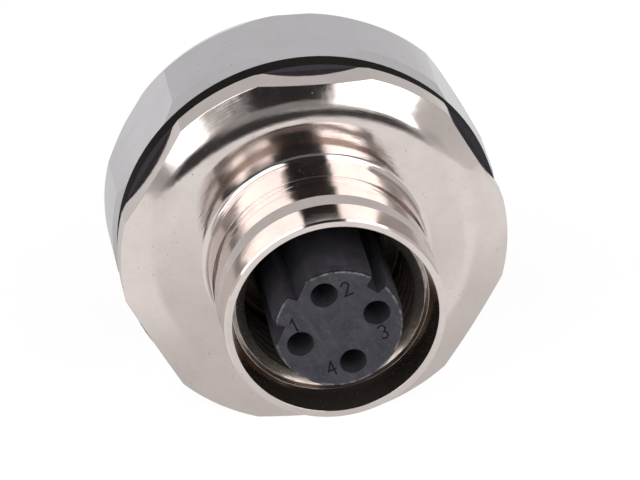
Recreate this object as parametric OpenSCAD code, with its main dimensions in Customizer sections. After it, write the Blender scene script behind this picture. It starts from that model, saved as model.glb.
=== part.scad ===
// Panel-mount M12 circular connector, female, four contacts.
// A turned, plated housing carries a hexagonal flange, a front sleeve with the
// mating thread inside it, and a threaded shank that a rubber gasket and a
// lock nut clamp to a panel.
//
// Frame: the connector's axis lies along Y and its mating face looks along -Y.
// The origin is on the axis, in the plane where the gasket meets the panel.
// The part lies on the lower flats of the flange and the nut, with +Z up.

/* [Mating sleeve] */
// Outside diameter of the front sleeve
sleeve_d = 14.2; // [13.8:0.1:14.8]
// Length of the sleeve in front of the flange's face
sleeve_len = 8.4; // [8:0.1:10]
// Inside diameter at the mouth
mouth_d = 13.2; // [13:0.1:13.3]
// Depth of the smooth counterbore behind the mouth
counterbore_depth = 2.4; // [2:0.1:3]
// Nominal diameter of the mating thread
mating_thread_d = 12; // [12:0.1:12.2]
// Pitch of the mating thread
mating_thread_pitch = 1; // [0.75:0.05:1]
// Depth of the two turned grooves round the sleeve
sleeve_groove_depth = 0.35; // [0.2:0.05:0.4]

/* [Flange] */
// Distance across the flats of the flange and of the lock nut
hex_af = 24; // [23.6:0.1:24.4]
// Thickness of the flange at its rim
flange_rim_t = 1.8; // [1.4:0.1:2.5]
// Diameter of the flat ring on the flange's face
flange_flat_d = 19.1; // [18:0.1:20]
// Slope of the flange's front chamfer
flange_slope = 24; // [18:1:26]

/* [Panel fixing] */
// Nominal diameter of the fixing thread
fixing_thread_d = 20; // [19.8:0.1:20.2]
// Length of the shank behind the gasket
shank_len = 9.5; // [8.5:0.5:14]
// Thickness of the gasket
gasket_t = 1.2; // [0.8:0.1:2]
// Thickness of the lock nut
nut_t = 6.9; // [5:0.1:7.5]
// How far the flange and the lock nut reach past the fixing thread, at their round corners
rim_reach = 2.55; // [2.4:0.05:3]

/* [Contacts] */
// Diameter of the contact carrier's stem
carrier_d = 8.4; // [8.3:0.05:8.6]
// How far the carrier stands out in front of the mouth
carrier_proud = 1.2; // [0:0.1:1.5]
// Number of contacts
contact_count = 4; // [4]
// Diameter of the circle that the contacts lie on
contact_circle_d = 5.2; // [5.1:0.05:5.4]
// Diameter of the pins that the contacts take
pin_d = 1; // [0.95:0.01:1.05]
// Direction of contact 1, seen from the front
contact_1_angle = 201; // [195:1:207]
// Direction of the coding rib, seen from the front
rib_angle = 157; // [152:1:160]
// Width of the coding rib
rib_w = 1.95; // [1.8:0.05:2.1]
// Direction of the coding groove, seen from the front
groove_angle = 51; // [48:1:54]

/* [Hidden] */
$fn = 96;

nickel = "silver";
gold = "goldenrod";
slate = "dimgray";
rubber = "black";

// Radial clearance of a piece that moves on another, and of a fixed one
running_gap = 0.05;
fixed_gap = 0.03;
eps = 0.01;

// Stations along the axis, from the panel plane towards the mating face
flange_back = gasket_t;
flange_rim_front = flange_back + flange_rim_t;
rim_r = fixing_thread_d / 2 + rim_reach;
flange_flat_r = flange_flat_d / 2;
// The flat ring, a rounded shoulder that starts with a faint edge, and the chamfer
edge_break = 0.2;
shoulder_r = 5.2;
shoulder_start = 3.5;
shoulder_out = shoulder_r * (sin(flange_slope) - sin(shoulder_start));
shoulder_drop = shoulder_r * (cos(shoulder_start) - cos(flange_slope));
chamfer_out = rim_r - flange_flat_r - shoulder_out;
flange_face = flange_rim_front + shoulder_drop + chamfer_out * tan(flange_slope);
shoulder_centre = [flange_flat_r, flange_face]
    - shoulder_r * [sin(shoulder_start), cos(shoulder_start)];
// Where the shoulder's first and last tangents meet
shoulder_tip = [flange_flat_r, flange_face]
    + shoulder_r * tan((flange_slope - shoulder_start) / 2)
    * [cos(shoulder_start), -sin(shoulder_start)];
mouth = flange_face + sleeve_len;
carrier_face = mouth + carrier_proud;

sleeve_r = sleeve_d / 2;
sleeve_fillet = 0.4;
sleeve_edge = 0.12;
// Front and back of the two grooves, as distances behind the mouth. The first is a
// ratchet: its floor rises in a long taper. The second has square walls.
groove_1 = [2.15, 3.4];
groove_1_rise = 1.2;
groove_2 = [4.6, 6];

// Inside the sleeve: tapered counterbore, chamfer, thread core, chamber floor
mouth_r = mouth_d / 2;
counterbore_floor = mouth - counterbore_depth;
counterbore_taper = 0.25;
thread_chamfer = 0.3;
thread_core_r = (mating_thread_d - 1.0825 * mating_thread_pitch) / 2;
chamber_floor = 3;
web_back = 1;

// Behind the web: seal recess, bore for the carrier, snap ring groove
stem_r = carrier_d / 2;
land_r = stem_r + 0.3;
seal_w = 1;
seal_bulge_r = 0.56;
seal_out_r = land_r + fixed_gap + seal_w;
rear_bore_r = 7.6;
head_r = rear_bore_r - fixed_gap;
carrier_head_t = 2.6;
retainer_t = 3;
boss_t = 1;
boss_r = 4.4;
ring_t = 0.8;
ring_groove_depth = 0.5;
ring_band = 1.1;
ring_lug_r = 1;
ring_lug_hole_r = 0.45;
ring_lug_inset = 0.3;
ring_lug_turn = 5;
ring_opening = 30;
carrier_back = web_back - carrier_head_t;
retainer_back = carrier_back - retainer_t;

// Shank and nut
shank_r = fixing_thread_d / 2 - running_gap;
shank_chamfer = 0.8;
nut_bore_r = fixing_thread_d / 2;
nut_countersink = 0.6;
nut_chamfer_len = 1.2;
nut_face_r = hex_af / 2 + 0.05;
gasket_r = rim_r - 0.15;
gasket_bore_r = shank_r + 0.1;

// Contacts
barrel_r = pin_d / 2 + 0.28;
contact_hole_r = barrel_r + fixed_gap;
contact_lead_in = 0.1;
socket_lead_in = 0.15;
contact_recess = 3.2;
contact_front = carrier_face - contact_recess;
socket_depth = 6;
socket_r = pin_d / 2 + 0.02;
socket_slot_w = 0.2;
socket_slot_len = 3.5;
collar_r = 1.15;
collar_t = 0.6;
tail_end = -shank_len - 1.5;
cup_depth = 2.6;
cup_r = 0.52;
cup_cut_len = 2;

// Coding of the carrier
// The stem stands on a plain land that fills the web, and is coded in front of it
land_front = chamber_floor + 0.4;
rib_land = 3.28;
groove_floor_r = 3.36;
groove_floor_w = 0.9;
groove_rim_w = 1.25;
// Lead-in taper round the stem's front, across and along the axis
stem_lead = 0.14;
stem_lead_len = 0.6;

// Numbers beside the contacts
digit_h = 0.95;
digit_w = 0.5;
digit_stroke = 0.11;
digit_depth = 0.1;
digit_offset = -30.5;
digit_circle_r = 2.84;
digit_tilt = 24;
// Where the round top of the number 2 ends and its straight stroke begins
two_turn = -30;

function contact_angle(i) = contact_1_angle - (i - 1) * 360 / contact_count;
function polar(r, a) = [r * cos(a), r * sin(a)];

// Turns a shape drawn along +Z, with its front upwards, into the part's frame
module lay_down() {
    rotate([90, 0, 0]) children();
}

// Solid of revolution between two radii and two stations
module turned(r, from, to) {
    translate([0, 0, from]) cylinder(r = r, h = to - from);
}

module cone(r_from, r_to, from, to) {
    translate([0, 0, from]) cylinder(r1 = r_from, r2 = r_to, h = to - from);
}

// Hexagonal bar with flats above and below
module hex_bar(from, to) {
    translate([0, 0, from]) cylinder(d = hex_af / cos(30), h = to - from, $fn = 6);
}

module at_contact(i) {
    translate(polar(contact_circle_d / 2, contact_angle(i))) children();
}

// ---- Housing ----

// Half section of the outside of the housing, as radius and station
module housing_outline() {
    difference() {
        polygon([
            [0, -shank_len],
            [shank_r - shank_chamfer, -shank_len],
            [shank_r, -shank_len + shank_chamfer],
            [shank_r, flange_back],
            [rim_r - edge_break, flange_back],
            [rim_r, flange_back + edge_break],
            [rim_r, flange_rim_front],
            shoulder_tip,
            [flange_flat_r, flange_face],
            [sleeve_r + sleeve_fillet, flange_face],
            [sleeve_r + sleeve_fillet, flange_face + sleeve_fillet],
            [sleeve_r, flange_face + sleeve_fillet],
            [sleeve_r, mouth - sleeve_edge],
            [sleeve_r - sleeve_edge, mouth],
            [0, mouth]
        ]);
        translate([sleeve_r + sleeve_fillet, flange_face + sleeve_fillet])
            circle(r = sleeve_fillet);
        flange_shoulder_cut();
        sleeve_groove(groove_1[0], groove_1[1], groove_1_rise);
        sleeve_groove(groove_2[0], groove_2[1], 0);
    }
}

// What the rounded shoulder takes off the corner of flat ring and chamfer
module flange_shoulder_cut() {
    start = [flange_flat_r, flange_face];
    end = [flange_flat_r + shoulder_out, flange_face - shoulder_drop];
    difference() {
        polygon([start + [0, eps], shoulder_tip + [eps, eps], end + [eps, eps], end, start]);
        translate(shoulder_centre) circle(r = shoulder_r, $fn = 360);
    }
}

// Section of one groove: square front wall, floor, and a rear wall that may slope
module sleeve_groove(front, back, rise) {
    floor_r = sleeve_r - sleeve_groove_depth;
    polygon([
        [sleeve_r + 1, mouth - front],
        [floor_r, mouth - front],
        [floor_r, mouth - back + rise],
        [sleeve_r, mouth - back],
        [sleeve_r + 1, mouth - back]
    ]);
}

// Everything bored out from the mouth and from the back
module housing_bores() {
    counterbore_r = mouth_r - counterbore_taper;
    cone(counterbore_r, mouth_r, counterbore_floor, mouth + eps);
    cone(thread_core_r, counterbore_r - thread_chamfer, counterbore_floor - thread_chamfer,
        counterbore_floor + eps);
    turned(thread_core_r, chamber_floor, counterbore_floor);
    turned(land_r + fixed_gap, web_back - eps, chamber_floor + eps);
    turned(seal_out_r, web_back - eps, web_back + seal_w);
    turned(rear_bore_r, -shank_len - eps, web_back);
    turned(rear_bore_r + ring_groove_depth, retainer_back - ring_t, retainer_back);
}

module housing() {
    color(nickel) lay_down() difference() {
        intersection() {
            rotate_extrude() housing_outline();
            hex_bar(-shank_len - 1, mouth + 1);
        }
        housing_bores();
    }
}

// ---- Contact carrier and its retainer ----

// Section of what is cut from the stem: a flat with the rib left standing, and a groove
module coding_cuts() {
    reach = stem_r + 0.1;
    rotate(rib_angle) difference() {
        translate([rib_land, -reach]) square([reach - rib_land, 2 * reach]);
        translate([0, -rib_w / 2]) square([2 * reach, rib_w]);
    }
    rotate(groove_angle) polygon([
        [groove_floor_r, -groove_floor_w / 2],
        [reach, -groove_rim_w / 2],
        [reach, groove_rim_w / 2],
        [groove_floor_r, groove_floor_w / 2]
    ]);
}

// A straight stroke of a number, from p to q
module stroke(p, q) {
    d = q - p;
    translate(p) rotate(atan2(d[1], d[0])) translate([-digit_stroke / 2, -digit_stroke / 2])
        square([norm(d) + digit_stroke, digit_stroke]);
}

// A round stroke of a number about c, from angle a to angle b, 180 degrees or more
module bend(c, r, a, b) {
    reach = 3 * r;
    middle = (a + b) / 2;
    translate(c) difference() {
        circle(r = r + digit_stroke / 2);
        circle(r = r - digit_stroke / 2);
        if (b - a < 360)
            polygon([[0, 0], polar(reach, b), polar(reach, middle + 180), polar(reach, a)]);
    }
}

module digit(n) {
    w = digit_w;
    h = digit_h;
    bowl = h / 4;
    if (n == 1) {
        stroke([0, -h / 2], [0, h / 2]);
        stroke([0, h / 2], [-0.35 * w, h / 4]);
    }
    if (n == 2) {
        bend([0, h / 2 - bowl], bowl, two_turn, 170);
        stroke([0, h / 2 - bowl] + polar(bowl, two_turn), [-w / 2, -h / 2]);
        stroke([-w / 2, -h / 2], [w / 2, -h / 2]);
    }
    if (n == 3) {
        bend([0, h / 4], bowl, -90, 150);
        bend([0, -h / 4], bowl, -150, 90);
    }
    if (n == 4) {
        stroke([w / 4, -h / 2], [w / 4, h / 2]);
        stroke([w / 4, h / 2], [-w / 2, -h / 6]);
        stroke([-w / 2, -h / 6], [w / 2, -h / 6]);
    }
}

module carrier_numbers() {
    translate([0, 0, carrier_face - digit_depth]) linear_extrude(digit_depth + eps)
        for (i = [1 : contact_count])
            translate(polar(digit_circle_r, contact_angle(i) + digit_offset))
                rotate(digit_tilt) digit(i);
}

module contact_carrier() {
    color(slate) lay_down() difference() {
        union() {
            turned(stem_r, carrier_back, carrier_face - stem_lead_len);
            cone(stem_r, stem_r - stem_lead, carrier_face - stem_lead_len, carrier_face);
            turned(land_r, carrier_back, land_front);
            turned(head_r, carrier_back, web_back);
        }
        translate([0, 0, land_front])
            linear_extrude(carrier_face - land_front + eps) coding_cuts();
        carrier_numbers();
        for (i = [1 : contact_count]) at_contact(i) {
            turned(contact_hole_r, carrier_back - eps, carrier_face + eps);
            cone(contact_hole_r, contact_hole_r + contact_lead_in,
                carrier_face - contact_lead_in, carrier_face + eps);
            turned(collar_r + fixed_gap, carrier_back - eps, carrier_back + collar_t);
        }
    }
}

module contact_retainer() {
    color(slate) lay_down() difference() {
        union() {
            turned(head_r, retainer_back, carrier_back);
            turned(boss_r, retainer_back - boss_t, retainer_back);
        }
        for (i = [1 : contact_count]) at_contact(i)
            turned(contact_hole_r, retainer_back - boss_t - eps, carrier_back + eps);
    }
}

// Ring of round section, squeezed flat between stem, recess and carrier head
module carrier_seal() {
    middle_r = land_r + fixed_gap / 2 + seal_w / 2;
    color(rubber) lay_down() translate([0, 0, web_back + seal_w / 2]) rotate_extrude()
        translate([middle_r, 0]) intersection() {
            circle(r = seal_bulge_r, $fn = 48);
            square([seal_w - fixed_gap, seal_w], center = true);
        }
}

// Open ring with two eyes for the pliers, sprung into its groove in the shank
module snap_ring() {
    outer_r = rear_bore_r + ring_groove_depth - fixed_gap;
    lug_r = outer_r - ring_band - ring_lug_inset;
    color("gray") lay_down() translate([0, 0, retainer_back - ring_t]) linear_extrude(ring_t)
        difference() {
            union() {
                difference() {
                    circle(r = outer_r);
                    circle(r = outer_r - ring_band);
                    polygon([[0, 0], polar(2 * outer_r, 90 - ring_opening / 2),
                        polar(2 * outer_r, 90 + ring_opening / 2)]);
                }
                for (side = [-1, 1])
                    translate(polar(lug_r, 90 + side * (ring_opening / 2 + ring_lug_turn)))
                        circle(r = ring_lug_r);
            }
            for (side = [-1, 1])
                translate(polar(lug_r, 90 + side * (ring_opening / 2 + ring_lug_turn)))
                    circle(r = ring_lug_hole_r);
        }
}

// ---- Contacts ----

// Turned socket: slotted mouth in front, collar in the middle, solder cup behind
module contact(i) {
    color(gold) lay_down() at_contact(i) rotate(contact_angle(i)) difference() {
        union() {
            turned(barrel_r, tail_end, contact_front);
            turned(collar_r, carrier_back, carrier_back + collar_t);
        }
        turned(socket_r, contact_front - socket_depth, contact_front + eps);
        cone(socket_r, socket_r + socket_lead_in, contact_front - socket_lead_in,
            contact_front + eps);
        translate([-barrel_r - 1, -socket_slot_w / 2, contact_front - socket_slot_len])
            cube([2 * barrel_r + 2, socket_slot_w, socket_slot_len + 1]);
        turned(cup_r, tail_end - eps, tail_end + cup_depth);
        translate([0, -barrel_r - 1, tail_end - 1])
            cube([barrel_r + 1, 2 * barrel_r + 2, cup_cut_len + 1]);
    }
}

// ---- Panel fixing ----

// Rubber ring, pressed flat below where the part lies on it
module panel_gasket() {
    color(rubber) lay_down() difference() {
        turned(gasket_r, 0, gasket_t);
        turned(gasket_bore_r, -eps, gasket_t + eps);
        translate([-gasket_r, -hex_af / 2 - gasket_r, -1])
            cube([2 * gasket_r, gasket_r, gasket_t + 2]);
    }
}

module lock_nut() {
    color(nickel) lay_down() difference() {
        intersection() {
            union() {
                turned(rim_r, -nut_t + nut_chamfer_len, -nut_chamfer_len);
                cone(rim_r, nut_face_r, -nut_chamfer_len, 0);
                cone(nut_face_r, rim_r, -nut_t, -nut_t + nut_chamfer_len);
            }
            hex_bar(-nut_t - 1, 1);
        }
        turned(nut_bore_r, -nut_t - eps, eps);
        cone(nut_bore_r, nut_bore_r + nut_countersink, -nut_countersink, eps);
        cone(nut_bore_r + nut_countersink, nut_bore_r, -nut_t - eps, -nut_t + nut_countersink);
    }
}

housing();
contact_carrier();
carrier_seal();
contact_retainer();
snap_ring();
contact(1);  // contact_1
contact(2);  // contact_2
contact(3);  // contact_3
contact(4);  // contact_4
panel_gasket();
lock_nut();
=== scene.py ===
"""Looks for a panel-mount M12 connector: plated metal with real threads, moulded plastic,
rubber and gold, in a plain studio. Lengths are in metres, except where a comment or a node
that works in millimetres says so. The axis lies along Y, with the mouth at -Y."""
import math

import bmesh
import bpy
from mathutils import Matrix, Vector


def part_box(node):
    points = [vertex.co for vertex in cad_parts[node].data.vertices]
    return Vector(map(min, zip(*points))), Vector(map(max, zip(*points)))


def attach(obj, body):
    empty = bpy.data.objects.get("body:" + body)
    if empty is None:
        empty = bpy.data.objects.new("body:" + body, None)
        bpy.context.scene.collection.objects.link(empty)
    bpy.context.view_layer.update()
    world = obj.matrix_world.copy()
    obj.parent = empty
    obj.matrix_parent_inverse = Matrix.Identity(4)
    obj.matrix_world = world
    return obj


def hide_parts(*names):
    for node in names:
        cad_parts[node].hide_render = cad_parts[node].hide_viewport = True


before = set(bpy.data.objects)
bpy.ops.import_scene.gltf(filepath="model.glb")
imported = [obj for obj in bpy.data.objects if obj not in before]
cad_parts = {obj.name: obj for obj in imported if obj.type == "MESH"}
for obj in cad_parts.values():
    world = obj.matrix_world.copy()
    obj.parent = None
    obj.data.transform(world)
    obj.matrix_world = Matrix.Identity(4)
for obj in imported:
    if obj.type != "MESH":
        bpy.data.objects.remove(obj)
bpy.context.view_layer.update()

MM = 0.001

# ---- Places read from the frame. Those along the axis are in front of the panel plane ----

housing_low, housing_high = (Vector(corner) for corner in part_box("housing"))
nut_high = Vector(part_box("lock_nut")[1])

MOUTH = -housing_low.y
SHANK_END = -housing_high.y
FLANGE_BACK = -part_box("panel_gasket")[0][1]
CARRIER_FACE = -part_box("contact_carrier")[0][1]
NUT_BACK = -nut_high.y
APOTHEM = housing_high.z
RIM_R = housing_high.x
NUT_RIM_R = nut_high.x
FLOOR_Z = housing_low.z

# ---- Sizes of the turned forms: R is a radius from the axis ----

SLEEVE_R = 7.1 * MM
SLEEVE_FILLET = 0.4 * MM
SLEEVE_EDGE = 0.12 * MM
# Each groove's front and back behind the mouth, and the length over which its rear rises
SLEEVE_GROOVES = ((2.15 * MM, 3.4 * MM, 1.2 * MM), (4.6 * MM, 6.0 * MM, 0))
GROOVE_DEPTH = 0.35 * MM
FLANGE_RIM = 1.8 * MM
FLANGE_FLAT_R = 9.55 * MM
FLANGE_SLOPE = math.radians(24)
SHOULDER_R = 5.2 * MM
SHOULDER_START = math.radians(3.5)
EDGE_BREAK = 0.2 * MM
MOUTH_R = 6.6 * MM
COUNTERBORE_DEPTH = 2.4 * MM
COUNTERBORE_TAPER = 0.25 * MM
THREAD_LEAD = 0.3 * MM
CHAMBER_FLOOR = 3.0 * MM
# The radius of the carrier's face, inside its lead-in
CARRIER_R = 4.06 * MM
WEB_BACK = 1.0 * MM
WEB_HOLE_R = 4.53 * MM
SEAL_RECESS_R = 5.53 * MM
SEAL_RECESS = 1.0 * MM
REAR_BORE_R = 7.6 * MM
RING_GROOVE_R = 8.1 * MM
# Front and back of the snap ring's groove
RING_GROOVE = (-4.6 * MM, -5.4 * MM)
SHANK_R = 9.95 * MM
SHANK_CHAMFER = 0.8 * MM
NUT_BORE_R = 10.0 * MM
NUT_COUNTERSINK = 0.6 * MM
NUT_CHAMFER = 1.2 * MM
NUT_FACE_R = 12.05 * MM

MATING_PITCH = 1.0 * MM
MATING_CORE_R = 5.459 * MM
# How far in front of the chamber's floor the mating thread starts
MATING_RUNOUT = 0.4 * MM
FIXING_PITCH = 1.5 * MM
# How far behind the flange the shank's thread stops
FIXING_RELIEF = 0.6 * MM
# The shank's thread is cut this much deeper, so that the nut's crests clear its roots
ROOT_CLEARANCE = 0.1 * MM
# The lengths over which each thread comes to its full depth, from its rear and front ends
MATING_FADES = (1.0 * MM, 0.25 * MM)
FIXING_FADES = (0.3 * MM, 1.5 * MM)
NUT_FADES = (0.5 * MM, 0.5 * MM)
# Keeps the end of a thread off the ring beside it
THREAD_GAP = 0.02 * MM

# An ISO thread over one pitch: where crest and root flats begin and end, and their depth
THREAD_FLATS = ((-1 / 16, 0), (1 / 16, 0), (3 / 8, 1), (5 / 8, 1))
THREAD_DEPTH = 0.5413
# Rows of a thread start and stop this many turns past its ends
ROW_MARGIN = 0.1

SEGMENTS = 360
FILLET_STEPS = 10
SHOULDER_STEPS = 12
# Even steps closer than this to a corner of the hexagon are left out, in radians
CORNER_GAP = 0.003
SHARP = math.radians(14)
# Vertices closer than this become one
MERGE = 1e-7


# ---- Turned pieces: a closed half section taken round the axis ----


def hex_angles(rim):
    """Angles round the axis: even steps, and the corners where flats meet the round rim."""
    half = math.acos(APOTHEM / rim)
    steps = [k * math.tau / SEGMENTS for k in range(SEGMENTS)]
    corners = [
        (math.pi / 6 + k * math.pi / 3 + side) % math.tau
        for k in range(6)
        for side in (-half, half)
    ]
    apart = [s for s in steps if min(abs(s - c) for c in corners) > CORNER_GAP]
    return sorted(apart + corners)


def flat_radius(angle):
    """How far out a hexagonal bar with flats above and below reaches at an angle."""
    return APOTHEM / math.cos(angle % (math.pi / 3) - math.pi / 6)


def place(radius, station, angle):
    """A point of the lying part: the station runs towards -Y, and 90 degrees is up."""
    return Vector((radius * math.cos(angle), -station, radius * math.sin(angle)))


def arc(centre, radius, start, end, steps):
    """Points on an arc of the half section, from start to end in degrees."""
    angles = [math.radians(start + (end - start) * k / steps) for k in range(steps + 1)]
    return [(centre[0] + radius * math.cos(a), centre[1] + radius * math.sin(a)) for a in angles]


def smooth(x):
    """0 below 0, 1 above 1, and a smooth step between."""
    x = min(max(x, 0.0), 1.0)
    return x * x * (3 - 2 * x)


class Thread:
    """A right-hand thread between two stations. It is cut to depth from the crests at base,
    or with flip it stands up to depth from the roots at base."""

    def __init__(self, base, depth, pitch, ends, fades, flip=False):
        self.base, self.depth, self.pitch = base, depth, pitch
        self.low, self.high = ends
        self.fade_low, self.fade_high = fades
        self.flip = flip

    def radius(self, cut, station):
        """cut is 0 at a crest and 1 at a root."""
        fade = smooth((station - self.low) / self.fade_low)
        fade *= smooth((self.high - station) / self.fade_high)
        part = 1 - cut if self.flip else cut
        return self.base + self.depth * part * fade


class Turned:
    """Builds one turned piece. Rings and threads are added in order round the section."""

    def __init__(self, rim):
        self.mesh = bmesh.new()
        self.angles = hex_angles(rim)
        self.first = None
        self.last = None

    def vertices(self, radius, station, inner):
        made = []
        for angle in self.angles:
            r, s = radius, station
            limit = flat_radius(angle)
            if inner and r > limit:
                share = max((limit - inner[0]) / (r - inner[0]), 0)
                r, s = limit, inner[1] + (s - inner[1]) * share
            made.append(self.mesh.verts.new(place(r, s, angle)))
        return made

    def face(self, corners):
        ordered = [v for k, v in enumerate(corners) if v is not corners[k - 1]]
        if len(set(ordered)) > 2:
            self.mesh.faces.new(ordered)

    def join(self, ring):
        if self.last:
            for k in range(len(ring)):
                self.face((self.last[k - 1], self.last[k], ring[k], ring[k - 1]))
        self.first = self.first or ring
        self.last = ring

    def ring(self, radius, station, inner=None):
        """inner is the section's next point inwards: the edge slides to it along a hex flat."""
        self.join(self.vertices(radius, station, inner))

    def rings(self, points):
        for radius, station in points:
            self.ring(radius, station)

    def thread(self, cut):
        """Rows of the thread follow its helix, so that crests and roots are true lines."""
        inwards = self.vertices(cut.base, cut.low, None)
        outwards = self.vertices(cut.base, cut.high, None)
        count = len(THREAD_FLATS)
        lowest = math.floor(cut.low / cut.pitch - (1 + ROW_MARGIN)) * count
        highest = math.ceil(cut.high / cut.pitch + ROW_MARGIN) * count
        rows = {}
        for k in range(lowest, highest + count + 1):
            phase, depth = THREAD_FLATS[k % count]
            row = []
            for j, angle in enumerate(self.angles):
                station = cut.pitch * (k // count + phase + angle / math.tau)
                if station <= cut.low:
                    row.append(inwards[j])
                elif station >= cut.high:
                    row.append(outwards[j])
                else:
                    at = place(cut.radius(depth, station), station, angle)
                    row.append(self.mesh.verts.new(at))
            rows[k] = row
        size = len(self.angles)
        for k in range(lowest, highest):
            here, above = rows[k], rows[k + 1]
            for j in range(size - 1):
                self.face((here[j], here[j + 1], above[j + 1], above[j]))
            self.face((here[-1], rows[k + count][0], rows[k + count + 1][0], above[-1]))
        going_up = self.last[0].co.y > -(cut.low + cut.high) / 2
        self.join(inwards if going_up else outwards)
        self.last = outwards if going_up else inwards

    def finish(self, name):
        for k in range(len(self.first)):
            self.face((self.last[k - 1], self.last[k], self.first[k], self.first[k - 1]))
        made = self.mesh
        bmesh.ops.remove_doubles(made, verts=made.verts, dist=MERGE)
        bmesh.ops.dissolve_degenerate(made, edges=made.edges, dist=MERGE)
        bmesh.ops.recalc_face_normals(made, faces=made.faces)
        for face in made.faces:
            face.smooth = True
        for edge in made.edges:
            edge.smooth = edge.calc_face_angle(0) < SHARP
        data = bpy.data.meshes.new(name)
        made.to_mesh(data)
        made.free()
        piece = bpy.data.objects.new(name, data)
        bpy.context.scene.collection.objects.link(piece)
        weigh = piece.modifiers.new("Even normals", "WEIGHTED_NORMAL")
        weigh.keep_sharp = True
        return piece


def flange_stations():
    """The flange's face, and where its rounded shoulder runs into the chamfer."""
    rim_front = FLANGE_BACK + FLANGE_RIM
    out = SHOULDER_R * (math.sin(FLANGE_SLOPE) - math.sin(SHOULDER_START))
    drop = SHOULDER_R * (math.cos(SHOULDER_START) - math.cos(FLANGE_SLOPE))
    chamfer = (RIM_R - FLANGE_FLAT_R - out) * math.tan(FLANGE_SLOPE)
    return rim_front, rim_front + chamfer + drop, (FLANGE_FLAT_R + out, rim_front + chamfer)


def housing_outside(turned):
    rim_front, face, shoulder_end = flange_stations()
    turned.ring(SLEEVE_R - SLEEVE_EDGE, MOUTH)
    turned.ring(SLEEVE_R, MOUTH - SLEEVE_EDGE)
    floor = SLEEVE_R - GROOVE_DEPTH
    for front, back, rise in SLEEVE_GROOVES:
        turned.rings([(SLEEVE_R, MOUTH - front), (floor, MOUTH - front)])
        turned.rings([(floor, MOUTH - back + rise), (SLEEVE_R, MOUTH - back)])
    root = (SLEEVE_R + SLEEVE_FILLET, face + SLEEVE_FILLET)
    turned.rings(arc(root, SLEEVE_FILLET, 180, 270, FILLET_STEPS))
    start, end = math.degrees(SHOULDER_START), math.degrees(FLANGE_SLOPE)
    middle_r = FLANGE_FLAT_R - SHOULDER_R * math.sin(SHOULDER_START)
    middle = (middle_r, face - SHOULDER_R * math.cos(SHOULDER_START))
    turned.rings(arc(middle, SHOULDER_R, 90 - start, 90 - end, SHOULDER_STEPS))
    turned.ring(RIM_R, rim_front, inner=shoulder_end)
    back_edge = (RIM_R - EDGE_BREAK, FLANGE_BACK)
    turned.ring(RIM_R, FLANGE_BACK + EDGE_BREAK, inner=back_edge)
    turned.ring(*back_edge, inner=(SHANK_R, FLANGE_BACK))
    turned.ring(SHANK_R, FLANGE_BACK)


def housing_inside(turned):
    turned.rings([(REAR_BORE_R, SHANK_END), (REAR_BORE_R, RING_GROOVE[1])])
    turned.rings([(RING_GROOVE_R, RING_GROOVE[1]), (RING_GROOVE_R, RING_GROOVE[0])])
    turned.rings([(REAR_BORE_R, RING_GROOVE[0]), (REAR_BORE_R, WEB_BACK)])
    turned.rings([(SEAL_RECESS_R, WEB_BACK), (SEAL_RECESS_R, WEB_BACK + SEAL_RECESS)])
    turned.rings([(WEB_HOLE_R, WEB_BACK + SEAL_RECESS), (WEB_HOLE_R, CHAMBER_FLOOR)])
    turned.ring(MATING_CORE_R, CHAMBER_FLOOR)
    floor = MOUTH - COUNTERBORE_DEPTH
    floor_r = MOUTH_R - COUNTERBORE_TAPER
    depth = THREAD_DEPTH * MATING_PITCH
    ends = (CHAMBER_FLOOR + MATING_RUNOUT, floor - THREAD_LEAD - THREAD_GAP)
    turned.thread(Thread(MATING_CORE_R, depth, MATING_PITCH, ends, MATING_FADES))
    turned.rings([(MATING_CORE_R, floor - THREAD_LEAD), (floor_r - THREAD_LEAD, floor)])
    turned.rings([(floor_r, floor), (MOUTH_R, MOUTH)])


def make_housing():
    turned = Turned(RIM_R)
    housing_outside(turned)
    depth = -THREAD_DEPTH * FIXING_PITCH - ROOT_CLEARANCE
    ends = (SHANK_END + SHANK_CHAMFER, FLANGE_BACK - FIXING_RELIEF)
    turned.thread(Thread(SHANK_R, depth, FIXING_PITCH, ends, FIXING_FADES))
    turned.ring(SHANK_R - SHANK_CHAMFER, SHANK_END)
    housing_inside(turned)
    return turned.finish("threaded_housing")


def make_nut():
    turned = Turned(NUT_RIM_R)
    depth = -THREAD_DEPTH * FIXING_PITCH
    edge_r = NUT_BORE_R + NUT_COUNTERSINK
    turned.rings([(NUT_BORE_R, -NUT_COUNTERSINK), (edge_r, 0)])
    turned.ring(NUT_FACE_R, 0, inner=(edge_r, 0))
    turned.ring(NUT_RIM_R, -NUT_CHAMFER, inner=(NUT_FACE_R, 0))
    turned.ring(NUT_RIM_R, NUT_BACK + NUT_CHAMFER, inner=(NUT_FACE_R, NUT_BACK))
    turned.ring(NUT_FACE_R, NUT_BACK, inner=(edge_r, NUT_BACK))
    turned.rings([(edge_r, NUT_BACK), (NUT_BORE_R, NUT_BACK + NUT_COUNTERSINK)])
    ends = (NUT_BACK + NUT_COUNTERSINK + THREAD_GAP, -NUT_COUNTERSINK - THREAD_GAP)
    turned.thread(Thread(NUT_BORE_R, depth, FIXING_PITCH, ends, NUT_FADES, flip=True))
    return turned.finish("threaded_nut")


# ---- Materials ----

WHITE = (1, 1, 1, 1)

# Nickel plate: its light and dark tones, and the tone painted inside the mouth as shade
WARM_PLATE = ((0.615, 0.552, 0.525, 1), (0.58, 0.517, 0.49, 1), (0.16, 0.13, 0.11, 1))
COOL_PLATE = ((0.60, 0.582, 0.60, 1), (0.58, 0.56, 0.575, 1), (0.5, 0.48, 0.47, 1))
SPECK_TONE = (0.30, 0.26, 0.235, 1)
# Painted shade: inside the mouth the plate mirrors less at grazing angles, and is a little less
# metallic
SHADE_EDGE_TINT = (0.22, 0.18, 0.15, 1)
SHADE_METAL_LOSS = 0.1
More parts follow.
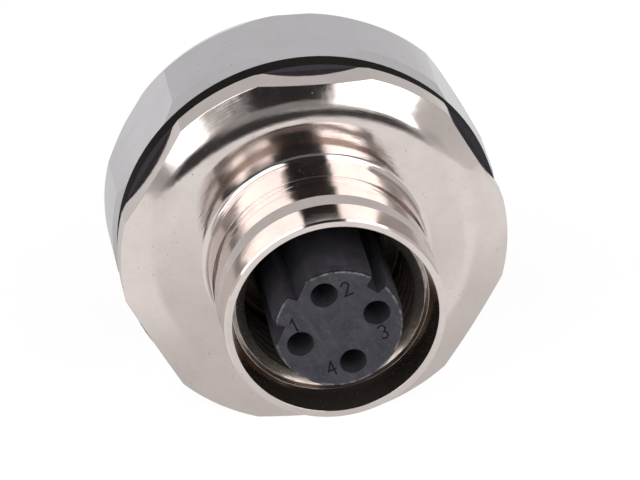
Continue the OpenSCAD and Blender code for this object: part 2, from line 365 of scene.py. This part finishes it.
# The zones of painted shade inside the mouth. Each has the radius where it ends and the depth
# from the mouth where it starts, both as a soft limit with two places, in millimetres.
THREAD_SHADE_ZONE = ((6.05, 6.2), (2.4, 2.7))
LEDGE_SHADE_ZONE = ((6.25, 6.35), (1.9, 2.1))
WALL_SHADE_ZONE = ((6.64, 6.7), (0.08, 0.2))
WALL_SHADE_START = (6.3, 6.36)
# How far the plate goes over to the painted shade tone: on the ledge it varies along the turned
# lines
LEDGE_SHARE = (0.55, 0.95)
WALL_SHARE = 0.85
PLATE_ROUGHNESS = (0.065, 0.13)
# The spans of noise over which smudges change the tone and the roughness, and the turned
# lines change the ledge
SMUDGE_TONE_SPAN = (0.35, 0.7)
SMUDGE_ROUGHNESS_SPAN = (0.3, 0.75)
LINE_SPAN = (0.3, 0.7)
SPECK_ROUGHNESS = 0.25
THREAD_ROUGHNESS = 0.15

# The carrier's plastic: two slates, then its scuffs, nicks, a painted highlight on the rim and
# cut numbers
SLATES = ((0.030, 0.029, 0.040, 1), (0.047, 0.044, 0.056, 1))
SCUFF_TONE = (0.078, 0.066, 0.068, 1)
NICK_TONE = (0.14, 0.14, 0.155, 1)
# the painted highlight on the rim of the face
RIM_HIGHLIGHT_TONE = (0.25, 0.25, 0.26, 1)
CUT_TONE = (0.006, 0.006, 0.007, 1)
SCUFF_SHARE = 0.55
NICK_SHARE = 0.25
RIM_HIGHLIGHT_SHARE = 0.7
SLATE_ROUGHNESS = (0.45, 0.6)
# Scuffs lean, and are drawn out along their lean
SCUFF_LEAN = math.radians(35)
SCUFF_STRETCH = (1.2, 1.0, 0.4)
# Soft limits in millimetres, out from CARRIER_R and back from the carrier's face
RIM_HIGHLIGHT_RADIUS = (-0.16, -0.04)
RIM_HIGHLIGHT_DEPTH = (0.1, 0.25)
CUT_START = (0.03, 0.08)
CUT_END = (0.12, 0.2)

# The rubber: black, painted light where the normal lies along -Y by this much, and dust
RUBBER_TONE = (0.010, 0.007, 0.007, 1)
FRONT_LIGHT_TONE = (0.045, 0.042, 0.050, 1)
FRONT_LIGHT_SPAN = (0.5, 0.9)
DUST_TONE = (0.06, 0.06, 0.065, 1)
DUST_SHARE = 0.15
RUBBER_ROUGHNESS = (0.6, 0.8)

# The span of noise over which rubber and the small metal parts change in roughness
GRAIN_SPAN = (0.2, 0.8)
GOLD_TONES = ((0.80, 0.52, 0.22, 1), (0.68, 0.42, 0.17, 1))
STEEL_TONES = ((0.09, 0.09, 0.095, 1), (0.17, 0.165, 0.16, 1))


class Shader:
    """The nodes of a new material or world, with short ways to add and wire them."""

    def __init__(self, owner):
        self.owner = owner
        owner.use_nodes = True
        self.tree = owner.node_tree
        self.tree.nodes.clear()

    def add(self, kind, inputs=(), **settings):
        node = self.tree.nodes.new(kind)
        for key, value in settings.items():
            setattr(node, key, value)
        for key, value in dict(inputs).items():
            self.put(node.inputs[key], value)
        return node

    def first(self, kind, inputs=(), **settings):
        """The first output of a new node."""
        return self.add(kind, inputs, **settings).outputs[0]

    def put(self, socket, value):
        if isinstance(value, bpy.types.NodeSocket):
            self.tree.links.new(value, socket)
        else:
            socket.default_value = value

    def math(self, operation, *values):
        return self.first("ShaderNodeMath", enumerate(values), operation=operation)

    def product(self, *values):
        made = values[0]
        for value in values[1:]:
            made = self.math("MULTIPLY", made, value)
        return made

    def ramp(self, value, span, levels=(0.0, 1.0)):
        """A smooth step between two levels, over a span of the value."""
        inputs = enumerate((value, *span, *levels))
        return self.first("ShaderNodeMapRange", inputs, interpolation_type="SMOOTHSTEP")

    def fall(self, value, span):
        return self.ramp(value, span, (1.0, 0.0))

    def mix(self, share, first, second):
        """A colour between two colours."""
        inputs = {0: share, 6: first, 7: second}
        return self.add("ShaderNodeMix", inputs, data_type="RGBA").outputs[2]

    def blend(self, share, first, second):
        """A shader between two shaders."""
        return self.first("ShaderNodeMixShader", {0: share, 1: first, 2: second})

    def noise(self, where, scale, detail=2.0, roughness=0.5):
        """Noise with this many features to a millimetre."""
        inputs = {"Vector": where, "Scale": scale, "Detail": detail, "Roughness": roughness}
        return self.add("ShaderNodeTexNoise", inputs).outputs["Fac"]

    def pattern(self, where, noise, onset):
        """Marks where the noise is high: onset is the span of its values where they start."""
        return self.ramp(self.noise(where, *noise), onset)

    def split(self, where):
        return self.add("ShaderNodeSeparateXYZ", {0: where}).outputs

    def distance(self, first, second):
        squares = (self.product(first, first), self.product(second, second))
        return self.math("SQRT", self.math("ADD", *squares))

    def millimetres(self):
        """Places on the object, in millimetres."""
        here = self.add("ShaderNodeTexCoord").outputs["Object"]
        return self.first("ShaderNodeVectorMath", {0: here, 3: 1 / MM}, operation="SCALE")

    def round_axis(self, where):
        """Places as radius, distance along the axis and turn about it, for turned marks."""
        x, y, z = self.split(where)
        inputs = {0: self.distance(x, z), 1: y, 2: self.math("ARCTAN2", z, x)}
        return self.first("ShaderNodeCombineXYZ", inputs)

    def bevel(self, radius, samples):
        """Normals that round the edges."""
        return self.first("ShaderNodeBevel", {"Radius": radius}, samples=samples)

    def bump(self, height, strength, distance, base):
        inputs = {"Height": height, "Strength": strength, "Distance": distance, "Normal": base}
        return self.first("ShaderNodeBump", inputs)

    def finish(self, **inputs):
        shader = self.add("ShaderNodeBsdfPrincipled")
        for key, value in inputs.items():
            self.put(shader.inputs[key.replace("_", " ").title().replace("Ior", "IOR")], value)
        self.add("ShaderNodeOutputMaterial", {0: shader.outputs[0]})
        return self.owner


def shifted(limits, by):
    return [by + limit for limit in limits]


def shade_zone(s, radius, along, zone):
    """1 within a zone of painted shade inside the mouth, and 0 outside it."""
    reach, depth = zone
    return s.product(s.fall(radius, reach), s.ramp(along, shifted(depth, -MOUTH / MM)))


def nickel(name, light, dark, shade_tone):
    """Bright plating over turned brass. Inside the mouth it is duller, and darkened with painted
    shade.
    """
    s = Shader(bpy.data.materials.new(name))
    where = s.millimetres()
    turned = s.round_axis(where)
    radius, along, _ = s.split(turned)
    lines = s.noise(turned, scale=9.0, detail=3.0, roughness=0.7)
    ripple = s.noise(where, scale=1.3, detail=1.0)
    smudge = s.noise(where, scale=0.45, detail=4.0, roughness=0.6)
    specks = s.pattern(where, noise=(6.5, 1.0), onset=(0.74, 0.78))
    # painted shade on the thread, the ledge and the wall inside the mouth
    thread = shade_zone(s, radius, along, THREAD_SHADE_ZONE)
    ledge = shade_zone(s, radius, along, LEDGE_SHADE_ZONE)
    wall = s.product(s.ramp(radius, WALL_SHADE_START), shade_zone(s, radius, along, WALL_SHADE_ZONE))
    colour = s.mix(s.ramp(smudge, SMUDGE_TONE_SPAN), light, dark)
    colour = s.mix(thread, colour, shade_tone)
    colour = s.mix(s.product(ledge, s.ramp(lines, LINE_SPAN, LEDGE_SHARE)), colour, shade_tone)
    colour = s.mix(s.product(wall, WALL_SHARE), colour, shade_tone)
    colour = s.mix(specks, colour, SPECK_TONE)
    rough = s.ramp(smudge, SMUDGE_ROUGHNESS_SPAN, PLATE_ROUGHNESS)
    rough = s.math("ADD", rough, s.product(specks, SPECK_ROUGHNESS))
    rough = s.math("ADD", rough, s.product(thread, THREAD_ROUGHNESS))
    normal = s.bevel(radius=0.07 * MM, samples=6)
    normal = s.bump(lines, strength=0.16, distance=0.012 * MM, base=normal)
    normal = s.bump(ripple, strength=0.04, distance=0.1 * MM, base=normal)
    mouth_shade = s.math("MAXIMUM", wall, s.math("MAXIMUM", ledge, thread))
    return s.finish(
        base_color=colour,
        metallic=s.math("SUBTRACT", 1.0, s.product(mouth_shade, SHADE_METAL_LOSS)),
        roughness=rough,
        specular_tint=s.mix(mouth_shade, WHITE, SHADE_EDGE_TINT),
        normal=normal,
    )


def carrier_plastic():
    """Dark slate moulding, scuffed on its face by plugs, with the numbers cut into it."""
    s = Shader(bpy.data.materials.new("carrier_plastic"))
    where = s.millimetres()
    radius, along, _ = s.split(s.round_axis(where))
    face = -CARRIER_FACE / MM
    flow = s.pattern(where, noise=(0.9, 5.0, 0.65), onset=(0.3, 0.7))
    grain = s.noise(where, scale=30.0)
    leaning = {0: where, 3: SCUFF_LEAN}
    leaning = s.first("ShaderNodeVectorRotate", leaning, rotation_type="Y_AXIS")
    drawn = {0: leaning, 1: SCUFF_STRETCH}
    drawn = s.first("ShaderNodeVectorMath", drawn, operation="MULTIPLY")
    scuffs = s.pattern(drawn, noise=(1.7, 6.0, 0.68), onset=(0.48, 0.66))
    nicks = s.pattern(where, noise=(6.0, 3.0, 0.6), onset=(0.6, 0.68))
    # a painted highlight along the rim of the face, broken up by noise like burrs that catch the
    # light
    rim = s.ramp(radius, shifted(RIM_HIGHLIGHT_RADIUS, CARRIER_R / MM))
    rim = s.product(rim, s.fall(along, shifted(RIM_HIGHLIGHT_DEPTH, face)))
    rim_highlight = s.product(rim, s.pattern(where, noise=(2.2, 4.0, 0.7), onset=(0.42, 0.6)))
    cut = s.ramp(along, shifted(CUT_START, face))
    cut = s.product(cut, s.fall(along, shifted(CUT_END, face)))
    colour = s.mix(flow, *SLATES)
    colour = s.mix(s.product(scuffs, SCUFF_SHARE), colour, SCUFF_TONE)
    colour = s.mix(s.product(nicks, NICK_SHARE), colour, NICK_TONE)
    colour = s.mix(s.product(rim_highlight, RIM_HIGHLIGHT_SHARE), colour, RIM_HIGHLIGHT_TONE)
    colour = s.mix(cut, colour, CUT_TONE)
    edge = s.bevel(radius=0.08 * MM, samples=6)
    return s.finish(
        base_color=colour,
        roughness=s.ramp(scuffs, (0.0, 1.0), SLATE_ROUGHNESS),
        specular_ior_level=0.22,
        normal=s.bump(grain, strength=0.12, distance=0.01 * MM, base=edge),
    )


def black_rubber():
    """Moulded rubber: black, with painted light, a bluish grey, on the faces that look forwards.
    """
    s = Shader(bpy.data.materials.new("black_rubber"))
    where = s.millimetres()
    grain = s.noise(where, scale=9.0, detail=4.0, roughness=0.7)
    dust = s.pattern(where, noise=(3.0, 5.0, 0.7), onset=(0.55, 0.8))
    facing = s.split(s.add("ShaderNodeNewGeometry").outputs["Normal"])[1]
    # painted light: the faces that look forwards are lighter
    front_light = s.ramp(s.product(facing, -1.0), FRONT_LIGHT_SPAN)
    colour = s.mix(front_light, RUBBER_TONE, FRONT_LIGHT_TONE)
    colour = s.mix(s.product(dust, DUST_SHARE), colour, DUST_TONE)
    edge = s.bevel(radius=0.1 * MM, samples=6)
    return s.finish(
        base_color=colour,
        roughness=s.ramp(grain, GRAIN_SPAN, RUBBER_ROUGHNESS),
        specular_ior_level=0.06,
        normal=s.bump(grain, strength=0.25, distance=0.02 * MM, base=edge),
    )


def patchy_metal(name, tones, patches, grain, metallic, roughness, rounding, relief):
    """Small metal parts: soft patches of tone and roughness over a fine grain."""
    s = Shader(bpy.data.materials.new(name))
    where = s.millimetres()
    patch = s.noise(where, *patches)
    edge = s.bevel(rounding, samples=4)
    return s.finish(
        base_color=s.mix(patch, *tones),
        metallic=metallic,
        roughness=s.ramp(patch, GRAIN_SPAN, roughness),
        normal=s.bump(s.noise(where, grain), strength=relief, distance=0.01 * MM, base=edge),
    )


def contact_gold():
    return patchy_metal(
        "contact_gold",
        GOLD_TONES,
        patches=(1.2, 3.0),
        grain=14.0,
        metallic=1.0,
        roughness=(0.18, 0.3),
        rounding=0.04 * MM,
        relief=0.15,
    )


def spring_steel():
    return patchy_metal(
        "spring_steel",
        STEEL_TONES,
        patches=(2.0, 4.0, 0.7),
        grain=12.0,
        metallic=0.9,
        roughness=(0.3, 0.5),
        rounding=0.05 * MM,
        relief=0.2,
    )


# ---- Studio ----

# The light that metal mirrors outside the charts below: on the walls, below the table's
# height, and the angles from the zenith between them
WALLS = 0.72
BELOW = 0.90
SKYLINE = (85, 105)
# Light on matt surfaces, from behind and from in front. It grows over this range of the
# share of a direction that lies along -Y.
FILL = (0.0, 1.55)
FILL_RANGE = (0.2, 1.0)

# What the metal mirrors. Overhead it is drawn on a chart of the sky: the centre is the
# zenith, distance from it is the angle from the zenith, and directions keep their sense, so
# the first place is along +X and the second along -Y. Near the horizon the places are the
# azimuth from -Y towards +X and the angle from the zenith. All are in degrees. A patch has
# its centre, half widths, softness and brightness, and later patches cover earlier ones.
OVERHEAD = (
    # the dark gap between the soft boxes, with the camera in it, and the room under it
    ((-2.5, 34), (17.5, 41), 1.5, 0.03),
    ((-2.5, 80), (18, 5), 2, 0.32),
    # the long soft box on the right in two steps, and the wider one on the left in three
    ((31, 20), (15, 22), 1.5, 3.2),
    ((30, 60), (14, 20), 1.5, 3.2),
    ((-46, 28), (29, 18), 2, 3.2),
    ((-30.5, 55), (15, 15), 2.5, 3.2),
    ((-37.5, 70), (8, 9), 2.5, 3.2),
    # the dim foot of the one on the left
    ((-20, 76.5), (8, 4), 2, 0.4),
)
HORIZON = (
    # the dark room beyond the table's front edge, lighter at its two ends
    ((-28, 95), (6, 4), 4, 0.3),
    ((14, 93), (13, 5.5), 3, 0.07),
    ((-10.5, 93.5), (15, 6.5), 3, 0.05),
    ((30, 91), (6, 4), 4, 0.5),
    ((-55, 91), (9, 5), 5, 0.5),
    ((-12, 87), (12, 8), 5, 0.06),
)
# Keeps the chart's scale finite at the zenith
ZENITH_GUARD = 0.001

# The soft boxes show faintly in the table. The places are the azimuth from -Y towards +X in
# degrees, and the distance from the part in millimetres.
TABLE = (
    ((38, 60), (7, 42), 4, 1.05),
    ((-52, 60), (14, 42), 6, 1.05),
)
# Painted shade: the table that metal mirrors is dimmer close to the part, and dimmer behind it:
# the range of each in millimetres, and its two levels
NEAR_RANGE, NEAR_LEVELS = (10, 45), (0.71, 1.02)
BACK_RANGE, BACK_LEVELS = (-8, 15), (1.0, 0.66)
TABLE_TONES = ((0.90, 0.89, 0.885, 1), (0.93, 0.925, 0.92, 1))
# To the camera the table mostly glows, and the rest of it takes the part's shadow
TABLE_GLOW = 0.92
TABLE_SHADED = (0.15, 0.15, 0.15, 1)
TABLE_REACH = 120 * MM
TABLE_SEGMENTS = 96
TABLE_GAP = 0.02 * MM


def patched(s, light, chart, patches):
    """Lays patches of brightness over light, on a chart of two places."""
    for centre, half, soft, value in patches:
        shares = []
        for place, middle, reach in zip(chart, centre, half):
            away = s.math("ABSOLUTE", s.math("SUBTRACT", place, middle))
            shares.append(s.fall(away, (reach - soft, reach + soft)))
        share = s.product(*shares)
        rest = s.product(light, s.math("SUBTRACT", 1.0, share))
        light = s.math("ADD", rest, s.product(share, value))
    return light


def azimuth_of(s, across, front):
    """Degrees from -Y towards +X."""
    return s.math("DEGREES", s.math("ARCTAN2", across, front))


def make_world():
    world = bpy.data.worlds.new("studio")
    bpy.context.scene.world = world
    s = Shader(world)
    x, y, z = s.split(s.add("ShaderNodeTexCoord").outputs["Generated"])
    front = s.product(y, -1.0)
    zenith = s.math("DEGREES", s.math("ARCCOSINE", z))
    level = s.math("SQRT", s.math("SUBTRACT", 1.0, s.product(z, z)))
    # degrees on the chart for each unit that a direction lies sideways
    reach = s.math("DIVIDE", zenith, s.math("MAXIMUM", level, ZENITH_GUARD))
    sky = (s.product(x, reach), s.product(front, reach))
    light = s.ramp(zenith, SKYLINE, (WALLS, BELOW))
    light = patched(s, light, (azimuth_of(s, x, front), zenith), HORIZON)
    light = patched(s, light, sky, OVERHEAD)
    mirrored = s.first("ShaderNodeBackground", {"Color": light})
    soft = s.first("ShaderNodeBackground", {"Color": s.ramp(front, FILL_RANGE, FILL)})
    plain = s.first("ShaderNodeBackground", {"Color": WHITE})
    path = s.add("ShaderNodeLightPath").outputs
    lit = s.blend(path["Is Diffuse Ray"], mirrored, soft)
    s.add("ShaderNodeOutputWorld", {0: s.blend(path["Is Camera Ray"], lit, plain)})


def table_white():
    """White to the camera, with a faint shadow. Metal mirrors a table with its own light."""
    s = Shader(bpy.data.materials.new("table_white"))
    where = s.millimetres()
    across, along, _ = s.split(where)
    colour = s.mix(s.noise(where, scale=0.4, detail=3.0), *TABLE_TONES)
    diffuse = s.first("ShaderNodeBsdfDiffuse", {"Color": colour})
    shaded = s.first("ShaderNodeBsdfDiffuse", {"Color": TABLE_SHADED})
    glow = s.first("ShaderNodeEmission", {"Color": WHITE, "Strength": TABLE_GLOW})
    white = s.first("ShaderNodeAddShader", {0: glow, 1: shaded})
    away = s.distance(across, along)
    near = s.ramp(away, NEAR_RANGE, NEAR_LEVELS)
    level = s.product(near, s.ramp(along, BACK_RANGE, BACK_LEVELS))
    azimuth = azimuth_of(s, across, s.product(along, -1.0))
    level = patched(s, level, (azimuth, away), TABLE)
    shine = s.first("ShaderNodeEmission", {"Color": WHITE, "Strength": level})
    mirrored = s.first("ShaderNodeAddShader", {0: shine, 1: shaded})
    path = s.add("ShaderNodeLightPath").outputs
    lit = s.blend(path["Is Glossy Ray"], diffuse, mirrored)
    s.add("ShaderNodeOutputMaterial", {0: s.blend(path["Is Camera Ray"], lit, white)})
    return s.owner


def make_floor():
    """A white table that keeps a faint shadow."""
    mesh = bmesh.new()
    bmesh.ops.create_circle(mesh, cap_ends=True, radius=TABLE_REACH, segments=TABLE_SEGMENTS)
    data = bpy.data.meshes.new("table")
    mesh.to_mesh(data)
    mesh.free()
    floor = bpy.data.objects.new("table", data)
    floor.location = (0, 0, FLOOR_Z - TABLE_GAP)
    bpy.context.scene.collection.objects.link(floor)
    data.materials.append(table_white())


# ---- Camera: above the mouth and a little to its left ----

CAMERA_AZIMUTH = math.radians(-8.33)
CAMERA_ELEVATION = math.radians(28.17)
CAMERA_DISTANCE = 441.0 * MM
# Focal length and sensor in millimetres
CAMERA_LENS = 393.75
CAMERA_SENSOR = 36
CAMERA_CLIP = (0.01, 10)
# The middle of the picture, from the middle of the mouth
AIM_LEFT = 1.01 * MM
AIM_UP = 5.01 * MM


def make_camera():
    data = bpy.data.cameras.new("camera")
    data.lens = CAMERA_LENS
    data.sensor_width = CAMERA_SENSOR
    data.clip_start, data.clip_end = CAMERA_CLIP
    camera = bpy.data.objects.new("camera", data)
    bpy.context.scene.collection.objects.link(camera)
    bpy.context.scene.camera = camera
    flat = math.cos(CAMERA_ELEVATION)
    back = Vector((
        flat * math.sin(CAMERA_AZIMUTH),
        -flat * math.cos(CAMERA_AZIMUTH),
        math.sin(CAMERA_ELEVATION),
    ))
    turn = back.to_track_quat("Z", "Y")
    right = turn @ Vector((1, 0, 0))
    up = turn @ Vector((0, 1, 0))
    aim = Vector((0, -MOUTH, 0)) - right * AIM_LEFT + up * AIM_UP
    camera.rotation_mode = "QUATERNION"
    camera.rotation_quaternion = turn
    camera.location = aim + back * CAMERA_DISTANCE


def dress(pieces, material):
    for piece in pieces:
        piece.data.materials.clear()
        piece.data.materials.append(material)


def main():
    make_camera()
    make_world()
    make_floor()
    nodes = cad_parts
    housing = make_housing()
    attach(housing, "connector")
    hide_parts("housing")
    nut = make_nut()
    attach(nut, "lock_nut")
    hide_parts("lock_nut")
    dress([housing], nickel("nickel_warm", *WARM_PLATE))
    dress([nut], nickel("nickel_cool", *COOL_PLATE))
    dress([nodes["contact_carrier"], nodes["contact_retainer"]], carrier_plastic())
    dress([nodes["panel_gasket"], nodes["carrier_seal"]], black_rubber())
    dress([nodes[f"contact_{k}"] for k in range(1, 5)], contact_gold())
    dress([nodes["snap_ring"]], spring_steel())
    bpy.context.scene.view_settings.view_transform = "Standard"


main()
